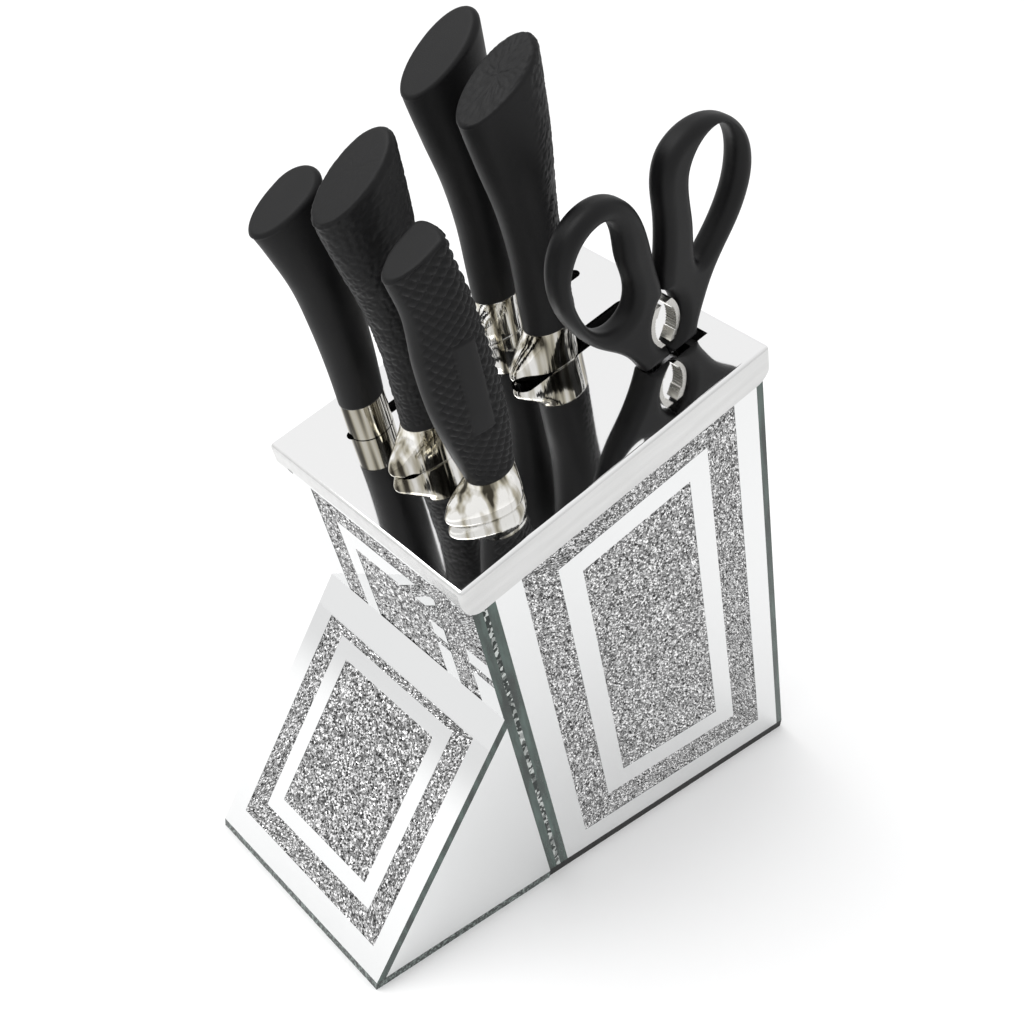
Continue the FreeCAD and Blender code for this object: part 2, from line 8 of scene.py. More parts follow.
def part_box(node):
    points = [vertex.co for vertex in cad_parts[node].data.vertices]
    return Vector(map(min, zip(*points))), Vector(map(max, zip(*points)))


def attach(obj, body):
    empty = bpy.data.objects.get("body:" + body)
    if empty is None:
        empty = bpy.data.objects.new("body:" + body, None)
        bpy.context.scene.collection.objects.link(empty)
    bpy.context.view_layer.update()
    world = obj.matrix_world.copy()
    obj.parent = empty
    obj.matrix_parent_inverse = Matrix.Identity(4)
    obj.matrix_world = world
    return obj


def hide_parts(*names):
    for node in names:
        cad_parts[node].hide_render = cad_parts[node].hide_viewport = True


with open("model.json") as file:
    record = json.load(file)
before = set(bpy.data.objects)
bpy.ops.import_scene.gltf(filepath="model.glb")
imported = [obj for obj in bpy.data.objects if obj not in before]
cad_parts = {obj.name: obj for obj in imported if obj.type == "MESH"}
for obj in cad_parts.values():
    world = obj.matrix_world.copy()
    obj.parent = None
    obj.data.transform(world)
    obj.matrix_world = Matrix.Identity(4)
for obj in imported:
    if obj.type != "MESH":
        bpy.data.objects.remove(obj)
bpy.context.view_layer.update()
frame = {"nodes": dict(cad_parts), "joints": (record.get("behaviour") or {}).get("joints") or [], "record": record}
MM = 0.001

# ---------------------------------------------------------------- block axes
# Block coordinates (v, y, u) in mm: v backwards along the cap, y across, u up
# along the knives, u = 0 on the cap's polished top. Two of the frame's joints
# give their directions and their origin.
JOINTS = {joint["name"]: joint for joint in frame["joints"]}
PIVOT = (124.3, -26.5, -6.0)  # the shears' screw
E_U = np.array(JOINTS["shears_lift"]["axis"])
E_V = np.array((E_U[2], 0.0, -E_U[0]))
E_Y = np.array((0.0, 1.0, 0.0))
ORIGIN = (np.array(JOINTS["shears_open"]["pos_m"])
          - MM * (PIVOT[0] * E_V + PIVOT[1] * E_Y + PIVOT[2] * E_U))
LEAN = math.atan2(-E_U[0], E_U[2])


def place(points):
    """Block coordinates in mm to the row frame in metres."""
    points = np.asarray(points, float)
    return ORIGIN + MM * (points[..., 0:1] * E_V + points[..., 1:2] * E_Y + points[..., 2:3] * E_U)


# ---------------------------------------------------------------- mesh helpers
def make_piece(name, verts, faces, material, body, replaced=(), smooth=True):
    mesh = bpy.data.meshes.new(name)
    mesh.from_pydata([tuple(p) for p in verts], [], [tuple(f) for f in faces])
    mesh.validate()
    mesh.materials.append(material)
    mesh.polygons.foreach_set("use_smooth", [smooth] * len(mesh.polygons))
    mesh.update()
    piece = bpy.data.objects.new(name, mesh)
    bpy.context.scene.collection.objects.link(piece)
    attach(piece, body)
    if replaced:
        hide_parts(*replaced)
    return piece


def ring_faces(rings, around, cap_low=True, cap_high=True):
    """Quads between closed rings, with an n-gon at each end if asked."""
    faces = []
    for i in range(rings - 1):
        for j in range(around):
            k = (j + 1) % around
            faces.append((i * around + j, i * around + k, (i + 1) * around + k, (i + 1) * around + j))
    if cap_low:
        faces.append(tuple(range(around - 1, -1, -1)))
    if cap_high:
        faces.append(tuple(range((rings - 1) * around, rings * around)))
    return faces


def smooth_table(rows, x):
    """Cubic interpolation through rows whose first column is x."""
    rows = np.array(rows, float)
    xs, ys = rows[:, 0], rows[:, 1:]
    slopes = np.gradient(ys, xs, axis=0)
    x = np.clip(np.asarray(x, float), xs[0], xs[-1])
    i = np.clip(np.searchsorted(xs, x) - 1, 0, len(xs) - 2)
    h = (xs[i + 1] - xs[i])[..., None]
    t = ((x - xs[i]) / (xs[i + 1] - xs[i]))[..., None]
    return ((2 * t ** 3 - 3 * t ** 2 + 1) * ys[i] + (t ** 3 - 2 * t ** 2 + t) * h * slopes[i]
            + (3 * t ** 2 - 2 * t ** 3) * ys[i + 1] + (t ** 3 - t ** 2) * h * slopes[i + 1])


# ---------------------------------------------------------------- materials
# a Mix node's colour sockets, which share their names with its other sockets
MIX_FIRST, MIX_SECOND, MIX_RESULT = 6, 7, 2


def new_material(name, base, roughness, metallic=0.0, **inputs):
    material = bpy.data.materials.new(name)
    material.use_nodes = True
    shader = material.node_tree.nodes["Principled BSDF"]
    shader.inputs["Base Color"].default_value = (*base, 1.0)
    shader.inputs["Roughness"].default_value = roughness
    shader.inputs["Metallic"].default_value = metallic
    for key, value in inputs.items():
        shader.inputs[key.replace("_", " ")].default_value = value
    return material, material.node_tree, shader


def add_node(tree, kind, **values):
    node = tree.nodes.new(kind)
    for key, value in values.items():
        setattr(node, key, value)
    return node


def noise_node(tree, scale, detail=3.0, stretch=(1.0, 1.0, 1.0)):
    """Noise in the object's own metres, stretched along the block's axes (v, y, u) if asked."""
    coords = add_node(tree, "ShaderNodeTexCoord")
    mapping = add_node(tree, "ShaderNodeMapping", vector_type="TEXTURE")
    mapping.inputs["Rotation"].default_value = (0.0, -LEAN, 0.0)
    mapping.inputs["Scale"].default_value = stretch
    texture = add_node(tree, "ShaderNodeTexNoise")
    texture.inputs["Scale"].default_value = scale
    texture.inputs["Detail"].default_value = detail
    tree.links.new(coords.outputs["Object"], mapping.inputs["Vector"])
    tree.links.new(mapping.outputs["Vector"], texture.inputs["Vector"])
    return texture


def range_node(tree, source, low, high, from_low=0.3, from_high=0.7):
    node = add_node(tree, "ShaderNodeMapRange")
    node.inputs["From Min"].default_value = from_low
    node.inputs["From Max"].default_value = from_high
    node.inputs["To Min"].default_value = low
    node.inputs["To Max"].default_value = high
    tree.links.new(source, node.inputs["Value"])
    return node


def add_bump(tree, shader, source, strength, distance):
    bump = add_node(tree, "ShaderNodeBump")
    bump.inputs["Strength"].default_value = strength
    bump.inputs["Distance"].default_value = distance
    tree.links.new(source, bump.inputs["Height"])
    tree.links.new(bump.outputs["Normal"], shader.inputs["Normal"])


def ramp_node(tree, source, stops):
    """A colour ramp over source, from (position, colour) stops."""
    ramp = add_node(tree, "ShaderNodeValToRGB")
    elements = ramp.color_ramp.elements
    for i, (position, colour) in enumerate(stops):
        element = elements[i] if i < 2 else elements.new(position)
        element.position = position
        element.color = (*colour, 1.0)
    tree.links.new(source, ramp.inputs["Fac"])
    return ramp


def set_colour(tree, shader, source, stops):
    ramp = ramp_node(tree, source, stops)
    tree.links.new(ramp.outputs["Color"], shader.inputs["Base Color"])


def set_roughness(tree, shader, source, low, high, *source_range):
    rough = range_node(tree, source, low, high, *source_range)
    tree.links.new(rough.outputs["Result"], shader.inputs["Roughness"])


def set_mixed_colour(tree, shader, share, first, second):
    """Base colour mixed from two colours, either of which may be a fixed one."""
    mix = add_node(tree, "ShaderNodeMix", data_type="RGBA")
    tree.links.new(share, mix.inputs["Factor"])
    for socket, colour in ((mix.inputs[MIX_FIRST], first), (mix.inputs[MIX_SECOND], second)):
        if isinstance(colour, tuple):
            socket.default_value = colour
        else:
            tree.links.new(colour, socket)
    tree.links.new(mix.outputs[MIX_RESULT], shader.inputs["Base Color"])


def grip_material():
    """Soft-touch black plastic: fine grain, uneven sheen and slight wear."""
    material, tree, shader = new_material("soft_black_grip", (0.006, 0.006, 0.0065), 0.5,
                                          Specular_IOR_Level=0.2)
    cloud = noise_node(tree, 60.0, 2.0)
    set_colour(tree, shader, cloud.outputs["Fac"],
               ((0.3, (0.003, 0.003, 0.0033)), (0.7, (0.006, 0.006, 0.0064))))
    set_roughness(tree, shader, cloud.outputs["Fac"], 0.42, 0.54)
    grain = noise_node(tree, 2600.0, 2.0)
    add_bump(tree, shader, grain.outputs["Fac"], 0.35, 0.00015)
    return material


def chrome_material():
    """Polished collars: lightly rippled, with fine polishing lines along the knife, and dark and bright streaks
    along it painted into the colour as painted reflections.
    """
    material, tree, shader = new_material("polished_chrome", (0.74, 0.72, 0.68), 0.07, 1.0)
    # near-black and bright streaks painted into the colour along the knife: painted reflections of the dark grips
    # and the room
    painted_reflection_streaks = noise_node(tree, 230.0, 2.0, (1.0, 1.0, 30.0))
    set_colour(tree, shader, painted_reflection_streaks.outputs["Fac"],
               ((0.36, (0.045, 0.04, 0.03)), (0.45, (0.42, 0.39, 0.31)), (0.6, (0.86, 0.85, 0.82))))
    lines = noise_node(tree, 420.0, 3.0, (1.0, 1.0, 40.0))
    add_bump(tree, shader, lines.outputs["Fac"], 0.55, 0.00035)
    return material


def cap_material():
    """Mirror-polished sheet on top; the folded skirts are duller, with scuffs, and the darker grey on them is
    painted shade.
    """
    material, tree, shader = new_material("polished_cap_steel", (0.84, 0.84, 0.84), 0.05, 1.0)
    ripple = noise_node(tree, 12.0, 1.0)
    add_bump(tree, shader, ripple.outputs["Fac"], 0.2, 0.0004)
    where = add_node(tree, "ShaderNodeNewGeometry")
    split = add_node(tree, "ShaderNodeSeparateXYZ")
    tree.links.new(where.outputs["Normal"], split.inputs["Vector"])
    upward = range_node(tree, split.outputs["Z"], 0.0, 1.0, 0.45, 0.9)
    scuff = noise_node(tree, 300.0, 4.0, (12.0, 1.0, 1.0))
    # the side faces' darker grey is painted shade; the streaks along them are real scuffs
    skirt_scuffs_and_shade = ramp_node(tree, scuff.outputs["Fac"],
                      ((0.3, (0.60, 0.60, 0.595)), (0.7, (0.68, 0.68, 0.675))))
    set_mixed_colour(tree, shader, upward.outputs["Result"], skirt_scuffs_and_shade.outputs["Color"],
                     (0.87, 0.87, 0.87, 1.0))
    set_roughness(tree, shader, upward.outputs["Result"], 0.22, 0.045, 0.0, 1.0)
    return material


def brushed_material(name, base, along, roughness):
    """Satin steel, with its lines stretched along the block's axes as given."""
    material, tree, shader = new_material(name, base, roughness, 1.0)
    lines = noise_node(tree, 900.0, 3.0, along)
    set_roughness(tree, shader, lines.outputs["Fac"], roughness - 0.08, roughness + 0.1)
    add_bump(tree, shader, lines.outputs["Fac"], 0.15, 0.00008)
    return material


def mirror_material():
    material, tree, shader = new_material("silvered_mirror", (0.90, 0.905, 0.905), 0.015, 1.0)
    haze = noise_node(tree, 8.0, 2.0)
    set_colour(tree, shader, haze.outputs["Fac"],
               ((0.3, (0.885, 0.89, 0.892)), (0.7, (0.92, 0.922, 0.922))))
    return material


BROAD_FACE = 0.6  # how far a face has to look along the sheet's normal to count as broad


def cover_glass_material(name, normal):
    """Silvered glass: a mirror on the broad faces, dark green where the sheet's edge shows."""
    material, tree, shader = new_material(name, (0.9, 0.9, 0.9), 0.02, 1.0)
    where = add_node(tree, "ShaderNodeNewGeometry")
    dot = add_node(tree, "ShaderNodeVectorMath", operation="DOT_PRODUCT")
    dot.inputs[1].default_value = normal
    tree.links.new(where.outputs["Normal"], dot.inputs[0])
    size = add_node(tree, "ShaderNodeMath", operation="ABSOLUTE")
    tree.links.new(dot.outputs["Value"], size.inputs[0])
    face = add_node(tree, "ShaderNodeMath", operation="GREATER_THAN")
    face.inputs[1].default_value = BROAD_FACE
    tree.links.new(size.outputs["Value"], face.inputs[0])
    tree.links.new(face.outputs["Value"], shader.inputs["Metallic"])
    streak = noise_node(tree, 260.0, 3.0, (1.0, 1.0, 6.0))
    edge = ramp_node(tree, streak.outputs["Fac"],
                     ((0.35, (0.006, 0.014, 0.011)), (0.72, (0.06, 0.10, 0.085))))
    haze = noise_node(tree, 8.0, 2.0)
    silver = ramp_node(tree, haze.outputs["Fac"],
                       ((0.3, (0.79, 0.796, 0.796)), (0.7, (0.82, 0.825, 0.825))))
    set_mixed_colour(tree, shader, face.outputs["Value"], edge.outputs["Color"],
                     silver.outputs["Color"])
    set_roughness(tree, shader, face.outputs["Value"], 0.14, 0.015, 0.0, 1.0)
    return material


def crystal_bed_material():
    """The crushed layer between two sheets, seen only along a panel's edge; its light and dark cells are painted
    glints.
    """
    material, tree, shader = new_material("crystal_bed", (0.3, 0.3, 0.3), 0.25, 0.6)
    coords = add_node(tree, "ShaderNodeTexCoord")
    painted_glint_cells = add_node(tree, "ShaderNodeTexVoronoi")
    painted_glint_cells.inputs["Scale"].default_value = 620.0
    tree.links.new(coords.outputs["Object"], painted_glint_cells.inputs["Vector"])
    # light and dark cells painted into the colour: painted glints of the crushed crystal
    set_colour(tree, shader, painted_glint_cells.outputs["Color"],
               ((0.45, (0.012, 0.02, 0.017)), (0.75, (0.55, 0.58, 0.56))))
    return material


def edge_glass_material():
    material, tree, shader = new_material("dark_edge_glass", (0.02, 0.04, 0.035), 0.12)
    # bright specks painted on the dark green: painted glints where the glass edge sparkles
    speck = noise_node(tree, 700.0, 2.0)
    set_colour(tree, shader, speck.outputs["Fac"],
               ((0.45, (0.006, 0.012, 0.010)), (0.72, (0.25, 0.30, 0.28))))
    return material


def board_material(name, base):
    material, tree, shader = new_material(name, base, 0.6)
    fibre = noise_node(tree, 400.0, 4.0)
    brighter = tuple(min(1.0, 2.0 * channel + 0.004) for channel in base)
    set_colour(tree, shader, fibre.outputs["Fac"], ((0.35, base), (0.7, brighter)))
    add_bump(tree, shader, fibre.outputs["Fac"], 0.3, 0.0001)
    return material


def crystal_material():
    """Each facet has a grey from the mesh's colour attribute: painted glints and painted reflections that give the
    crystal its sparkle.
    """
    material, tree, shader = new_material("crushed_crystal", (0.5, 0.5, 0.5), 0.18, 0.85)
    colour = add_node(tree, "ShaderNodeVertexColor", layer_name="facet")
    tree.links.new(colour.outputs["Color"], shader.inputs["Base Color"])
    return material


SLOPE_ANGLE = math.radians(63.4)  # between the sloping panel's normal and the vertical
SLOPE_NORMAL = (-math.sin(SLOPE_ANGLE), 0.0, math.cos(SLOPE_ANGLE))

GRIP = grip_material()
CHROME = chrome_material()
CAP = cap_material()
MIRROR = mirror_material()
BLADE = brushed_material("satin_blade", (0.66, 0.66, 0.67), (1.0, 1.0, 20.0), 0.24)
ROD = brushed_material("ribbed_rod", (0.55, 0.55, 0.55), (1.0, 1.0, 50.0), 0.32)
PIVOT_STEEL = brushed_material("pivot_steel", (0.6, 0.6, 0.6), (1.0, 1.0, 1.0), 0.3)
TEETH = brushed_material("teeth_steel", (0.62, 0.61, 0.58), (1.0, 8.0, 1.0), 0.3)
BOARD = board_material("black_board", (0.004, 0.004, 0.004))
FOOT = board_material("black_foot", (0.003, 0.003, 0.003))
EDGE_GLASS = edge_glass_material()
CRYSTAL = crystal_material()
CRYSTAL_BED = crystal_bed_material()
SIDE_GLASS = cover_glass_material("side_cover_glass", (0.0, 1.0, 0.0))
FRONT_GLASS = cover_glass_material("front_cover_glass", tuple(E_V))
SLOPE_GLASS = cover_glass_material("slope_cover_glass", SLOPE_NORMAL)

SLOT_MATERIALS = {
    "cover_glass": SIDE_GLASS, "edge_glass": EDGE_GLASS, "mirror": MIRROR, "cap_steel": CAP,
    "black_board": BOARD, "foot_board": FOOT, "bolster_chrome": CHROME, "black_grip": GRIP,
    "rod_steel": ROD, "teeth_steel": TEETH, "pivot_steel": PIVOT_STEEL, "blade_steel": BLADE,
    "crystal": CRYSTAL_BED,
}
# nodes that don't take the material of their slot
NODE_MATERIALS = {
    "front_cover_glass": FRONT_GLASS, "front_backing_mirror": FRONT_GLASS, "rear_mirror": FRONT_GLASS,
    "slope_cover_glass": SLOPE_GLASS, "slope_backing_mirror": SLOPE_GLASS,
    "near_backing_mirror": SIDE_GLASS, "far_backing_mirror": SIDE_GLASS,
    "wedge_near_mirror": SIDE_GLASS, "wedge_far_mirror": SIDE_GLASS,
}


def dress_nodes():
    """Every carried-over CAD node gets the material of its slot, or the one NODE_MATERIALS gives it."""
    for part in frame["record"]["subparts"]:
        node = frame["nodes"][part["node"]]
        material = NODE_MATERIALS.get(part["node"], SLOT_MATERIALS[part["material_slot"]])
        node.data.materials.clear()
        node.data.materials.append(material)


# ---------------------------------------------------------------- crushed crystal
GRAIN = 0.8         # mm between facet corners
JITTER = 0.36       # how far a corner strays, as a share of the grain
FACET_DEPTH = 0.6   # deepest corner below the face, mm
RIM_DEPTH = 0.12    # corners along a patch's edge, mm
FRAME_SEED = 10
CENTRE_SEED = 20
# greys drawn at random for the facets: painted glints and painted reflections, light and dark
FACET_SPARKLE_GREYS = (0.03, 0.08, 0.15, 0.24, 0.35, 0.50, 0.78, 1.0)
FACET_WEIGHTS = (0.11, 0.12, 0.14, 0.15, 0.14, 0.12, 0.11, 0.11)


def panel_corners(node, normal):
    """The corners of a flat node's outer face: its hull, and the rest, both in order."""
    normal = np.array(normal, float)
    side = np.cross(normal, (0.0, 0.0, 1.0))
    side /= np.linalg.norm(side)
    up = np.cross(side, normal)
    points = np.array([v.co for v in frame["nodes"][node].data.vertices])
    depth = points @ normal
    outer = points[depth > depth.max() - 1e-5]
    flat = np.unique(np.round(np.stack((outer @ side, outer @ up), 1), 6), axis=0)
    hull = simple_hull([tuple(flat[i]) for i in geometry.convex_hull_2d([Vector(p) for p in flat])])
    rest = [tuple(p) for p in flat if min(math.dist(p, h) for h in hull) > 1e-4]
    return hull, sort_like(rest, hull), (side, up, normal, depth.max())


def simple_hull(points):
    """Drops hull points that lie on a straight side."""
    kept = []
    count = len(points)
    for i in range(count):
        a, b, c = (np.array(points[(i + k) % count]) for k in (-1, 0, 1))
        ab, bc = b - a, c - b
        if abs(ab[0] * bc[1] - ab[1] * bc[0]) > 1e-3 * np.linalg.norm(ab) * np.linalg.norm(bc):
            kept.append(tuple(b))
    return kept


def sort_like(points, hull):
    """Orders points as the hull corners that they are nearest to."""
    return [min(points, key=lambda p: math.dist(p, corner)) for corner in hull] if points else []


def facet_grid(corners, axes, rng, verts, faces):
    """A jittered field of facets over one four-sided patch."""
    a, b, c, d = (np.array(p) for p in corners)
    side, up, normal, top = axes
    grain = GRAIN * MM
    columns = max(2, int(round(max(np.linalg.norm(b - a), np.linalg.norm(c - d)) / grain)))
    rows = max(2, int(round(max(np.linalg.norm(d - a), np.linalg.norm(c - b)) / grain)))
    s, t = np.meshgrid(np.arange(columns + 1, dtype=float), np.arange(rows + 1, dtype=float))
    inner = (s > 0) & (s < columns) & (t > 0) & (t < rows)
    s = (s + inner * rng.uniform(-JITTER, JITTER, s.shape)) / columns
    t = (t + inner * rng.uniform(-JITTER, JITTER, t.shape)) / rows
    s, t = s[..., None], t[..., None]
    flat = (1 - s) * (1 - t) * a + s * (1 - t) * b + s * t * c + (1 - s) * t * d
    depth = np.where(inner, FACET_DEPTH * rng.uniform(0.0, 1.0, flat.shape[:2]), RIM_DEPTH)
    height = top - MM * depth
    points = flat[..., 0:1] * side + flat[..., 1:2] * up + height[..., None] * normal
    start = len(verts)
    verts.extend(points.reshape(-1, 3))
    stride = columns + 1
    for j in range(rows):
        for i in range(columns):
            p = start + j * stride + i
            if (i + j) % 2:
                faces += [(p, p + 1, p + stride + 1), (p, p + stride + 1, p + stride)]
            else:
                faces += [(p, p + 1, p + stride), (p + 1, p + stride + 1, p + stride)]


def crystal_piece(name, patches, axes, replaced, seed):
    """The facets of some patches, as one piece with a grey for each facet: painted glints and painted reflections.
    """
    rng = np.random.default_rng(seed)
    verts, faces = [], []
    for corners in patches:
        facet_grid(corners, axes, rng, verts, faces)
    piece = make_piece(name, verts, faces, CRYSTAL, "block", replaced, smooth=False)
    mesh = piece.data
    # a random grey for each facet: painted glints and painted reflections
    sparkle_greys = rng.choice(FACET_SPARKLE_GREYS, len(mesh.polygons), p=FACET_WEIGHTS)
    colours = mesh.color_attributes.new("facet", "FLOAT_COLOR", "CORNER")
    values = np.ones((len(mesh.loops), 4))
    for polygon in mesh.polygons:
        values[list(polygon.loop_indices), :3] = sparkle_greys[polygon.index]
    colours.data.foreach_set("color", values.ravel())


def crystals():
    normals = {"near": (0, -1, 0), "far": (0, 1, 0), "front": tuple(-E_V), "slope": SLOPE_NORMAL}
    for seed, (panel, normal) in enumerate(normals.items()):
        outer, inner, axes = panel_corners(panel + "_crystal_frame", normal)
        strips = []
        for i in range(4):
            k = (i + 1) % 4
            strips.append((outer[i], outer[k], inner[k], inner[i]))
        crystal_piece(panel + "_frame_crystals", strips, axes, (panel + "_crystal_frame",),
                      FRAME_SEED + seed)
        outer, _, axes = panel_corners(panel + "_crystal_centre", normal)
        crystal_piece(panel + "_centre_crystals", [outer], axes, (panel + "_crystal_centre",),
                      CENTRE_SEED + seed)


# ---------------------------------------------------------------- grips
# u, reach to the front, reach to the rear, half thickness
LARGE_GRIP = (
    (17.5, 10.9, 10.9, 8.2), (30, 10.6, 10.6, 8.4), (50, 10.3, 10.3, 8.6), (70, 12.1, 11.4, 9.0),
    (90, 15.9, 13.5, 9.7), (110, 19.3, 14.3, 10.1), (140, 21.0, 14.6, 10.2),
)
STEEL_GRIP = (
    (15.5, 8.6, 9.0, 7.4), (30, 8.5, 10.1, 7.6), (50, 9.2, 10.8, 8.0), (70, 11.1, 10.5, 8.4),
    (90, 15.9, 10.3, 8.9), (105, 20.2, 10.4, 9.2), (125, 23.0, 10.6, 9.3),
)
SMALL_GRIP = (
    (14.0, 8.8, 9.5, 6.8), (30, 12.3, 11.2, 7.6), (50, 15.4, 11.3, 8.2), (70, 16.1, 9.9, 8.3),
    (90, 15.2, 7.7, 8.2), (105, 17.5, 4.9, 8.0), (125, 19.5, 3.0, 7.8),
)
RIM = 2.2         # radius between the side and the slanted end, mm
END_TRIM = 0.4    # lowers the slanted ends, to stay inside the CAD model's box
END_PASSES = 12   # enough to settle where the end plane meets the side
AROUND = 144      # points around a grip
ALONG = 210       # rings along its side
RIM_RINGS = 9
END_RINGS = 14


def section_points(table, u, angle):
    """Offsets (v, y) of a grip's surface at heights u and angles."""
    front, rear, half = np.moveaxis(smooth_table(table, u), -1, 0)
    reach = np.cos(angle)
    return np.where(reach > 0, rear, front) * reach, half * np.sin(angle)


def grip_surface(table, front_end, rear_end):
    """Rings of (v, y, u) from the foot, over the rounded rim, to the middle of the slanted end.
    front_end and rear_end are (v, u) where the end plane meets the front and the rear."""
    angle = np.linspace(0, 2 * np.pi, AROUND, endpoint=False)
    slope = (rear_end[1] - front_end[1]) / (rear_end[0] - front_end[0])
    foot = table[0][0]
    top = np.full(AROUND, rear_end[1], float)
    for _ in range(END_PASSES):
        v, y = section_points(table, top, angle)
        top = front_end[1] - END_TRIM + slope * (v - front_end[0])
    v, y = section_points(table, top, angle)
    edge = np.stack((v, y, top), 1)
    centre = edge.mean(0)
    radial = edge[:, :2] - centre[:2]
    reach = np.linalg.norm(radial, axis=1)
    # the corner between the side and the end plane is sharper where the plane rises outwards
    corner = math.pi / 2 - np.arctan(slope * radial[:, 0] / reach)
    tangent = RIM / np.tan(corner / 2)
    rings = []
    for f in np.linspace(0, 1, ALONG):
        u = foot + f * (top - tangent - foot)
        v, y = section_points(table, u, angle)
        rings.append(np.stack((v, y, u), 1))
    for f in np.linspace(0, 1, RIM_RINGS)[1:]:
        turn = f * (math.pi - corner)
        ring = edge.copy()
        ring[:, :2] -= radial / reach[:, None] * (RIM * (1 - np.cos(turn)))[:, None]
        ring[:, 2] += RIM * np.sin(turn) - tangent
        rings.append(ring)
    last = rings[-1]
    for f in np.linspace(1, 0.02, END_RINGS)[1:]:
        rings.append(centre + (last - centre) * f)
    return np.array(rings)


def plain(rings, normals):
    """Like the other textures, a depth in mm for each point of the rings: here none."""
    return np.zeros(rings.shape[:2])


def inward(rings, depth):
    """Moves each point into the solid by depth, along the surface normal."""
    return rings - surface_normals(rings) * depth[..., None]


def surface_normals(rings):
    """Unit normals at the points of the rings, outwards."""
    along = np.gradient(rings, axis=0)
    around = (np.roll(rings, -1, 1) - np.roll(rings, 1, 1)) / 2
    normal = np.cross(around, along)
    length = np.linalg.norm(normal, axis=-1, keepdims=True)
    return normal / np.maximum(length, 1e-9)


def noise_field(rings, scale, seed):
    """Smooth noise, -1 to 1, at each point of the rings."""
    shift = Vector((seed * 17.3, seed * 5.1, seed * 9.7))
    flat = rings.reshape(-1, 3) * scale
    values = [noise.noise(Vector(p) + shift) for p in flat]
    return np.array(values).reshape(rings.shape[:2])


def cell_field(rings, scale):
    """Distance between the two nearest cell centres: small along the creases between cells."""
    flat = rings.reshape(-1, 3) * scale
    values = []
    for p in flat:
        near = noise.voronoi(Vector(p))[0]
        values.append(near[1] - near[0])
    return np.array(values).reshape(rings.shape[:2])


def fade(x, low, high):
    """A smooth step from 0 at low to 1 at high."""
    t = np.clip((x - low) / (high - low), 0, 1)
    return t * t * (3 - 2 * t)


def hammered(rings, normals):
    """Creased leather pattern over the whole side, softer on the end."""
    creases = 1 - fade(cell_field(rings, 0.40), 0.02, 0.30)
    waves = noise_field(rings, 0.35, 3) * 0.5 + 0.5
    side = 1 - 0.82 * fade(normals[..., 2], 0.5, 0.9)
    start = fade(rings[..., 2], rings[0, 0, 2], rings[0, 0, 2] + 3)
    return (0.24 * creases + 0.18 * waves) * side * start


def dimpled(rings, normals):
    """Small pebbles on the end and on the rear side only."""
    creases = 1 - fade(cell_field(rings, 0.42), 0.02, 0.35)
    end = fade(normals[..., 2], 0.5, 0.9)
    rear = fade(normals[..., 0], -0.1, 0.35) * fade(-normals[..., 1], -0.6, 0.1)
    return 0.24 * creases * np.maximum(end, rear)


LOZENGE = (5.0, 4.4)  # across and along, mm
PANEL_CENTRE = -1.2   # v of the blank panel's middle
PANEL_HALF = 4.6
PANEL_MIDDLE = 57.0
PANEL_TALL = 19.5     # half the panel's height


def knurled(rings, normals):
    """Rows of raised lozenges, with a smooth front and a sunk blank panel on the near side."""
    girth = np.cumsum(np.linalg.norm(np.diff(rings, axis=1, append=rings[:, :1]), axis=-1), axis=1)
    height = rings[..., 2]
    p = girth / LOZENGE[0]
    q = height / LOZENGE[1]
    lozenge = np.abs(np.sin(np.pi * (p + q))) * np.abs(np.sin(np.pi * (p - q)))
    pattern = 0.85 * (1 - lozenge) ** 1.8
    smooth_front = fade(-normals[..., 0], 0.60, 0.74)
    end = fade(normals[..., 2], 0.45, 0.75)
    near = fade(-normals[..., 1], 0.5, 0.6)
    across = np.abs(rings[..., 0] - PANEL_CENTRE) - PANEL_HALF
    along = np.abs(height - PANEL_MIDDLE) - PANEL_TALL
    outside = np.maximum(across, along)
    panel = near * (1 - fade(outside, -0.2, 0.3))
    groove = near * (1 - fade(np.abs(outside), 0.35, 0.8))
    depth = pattern * (1 - smooth_front) * (1 - end) * (1 - panel)
    start = fade(height, height[0, 0], height[0, 0] + 2)
    return depth * start + 0.3 * panel + 0.45 * groove


def turned(points, centre_v, centre_y, degrees):
    """Offsets about a tool's own axis, turned and moved to their place in the block."""
    a = math.radians(degrees)
    v = points[..., 0] * math.cos(a) - points[..., 1] * math.sin(a) + centre_v
    y = points[..., 0] * math.sin(a) + points[..., 1] * math.cos(a) + centre_y
    return np.stack((v, y, points[..., 2]), -1)


def grip(name, table, ends, spot, texture, body, replaced):
    """A handle's grip with its texture cut into the surface."""
    rings = grip_surface(table, *ends)
    normals = surface_normals(rings)
    rings = inward(rings, texture(rings, normals))
    points = place(turned(rings, *spot)).reshape(-1, 3)
    make_piece(name, points, ring_faces(len(rings), AROUND), GRIP, body, replaced)


# ---------------------------------------------------------------- bolsters
# height and reach to the front on a large knife, scaled for each knife
GUARD = ((0.3, 19.8), (2.4, 21.2), (4.4, 21.6), (6.2, 21.0), (8.2, 19.4), (10.2, 17.4),
         (12.6, 14.9), (15.0, 12.4), (17.5, 10.9))
WIDEST = 2        # the row of GUARD with the largest reach
NOSE_PINCH = 0.3  # how much narrower the guard is at its nose
GUARD_RINGS = 70
GUARD_AROUND = 120


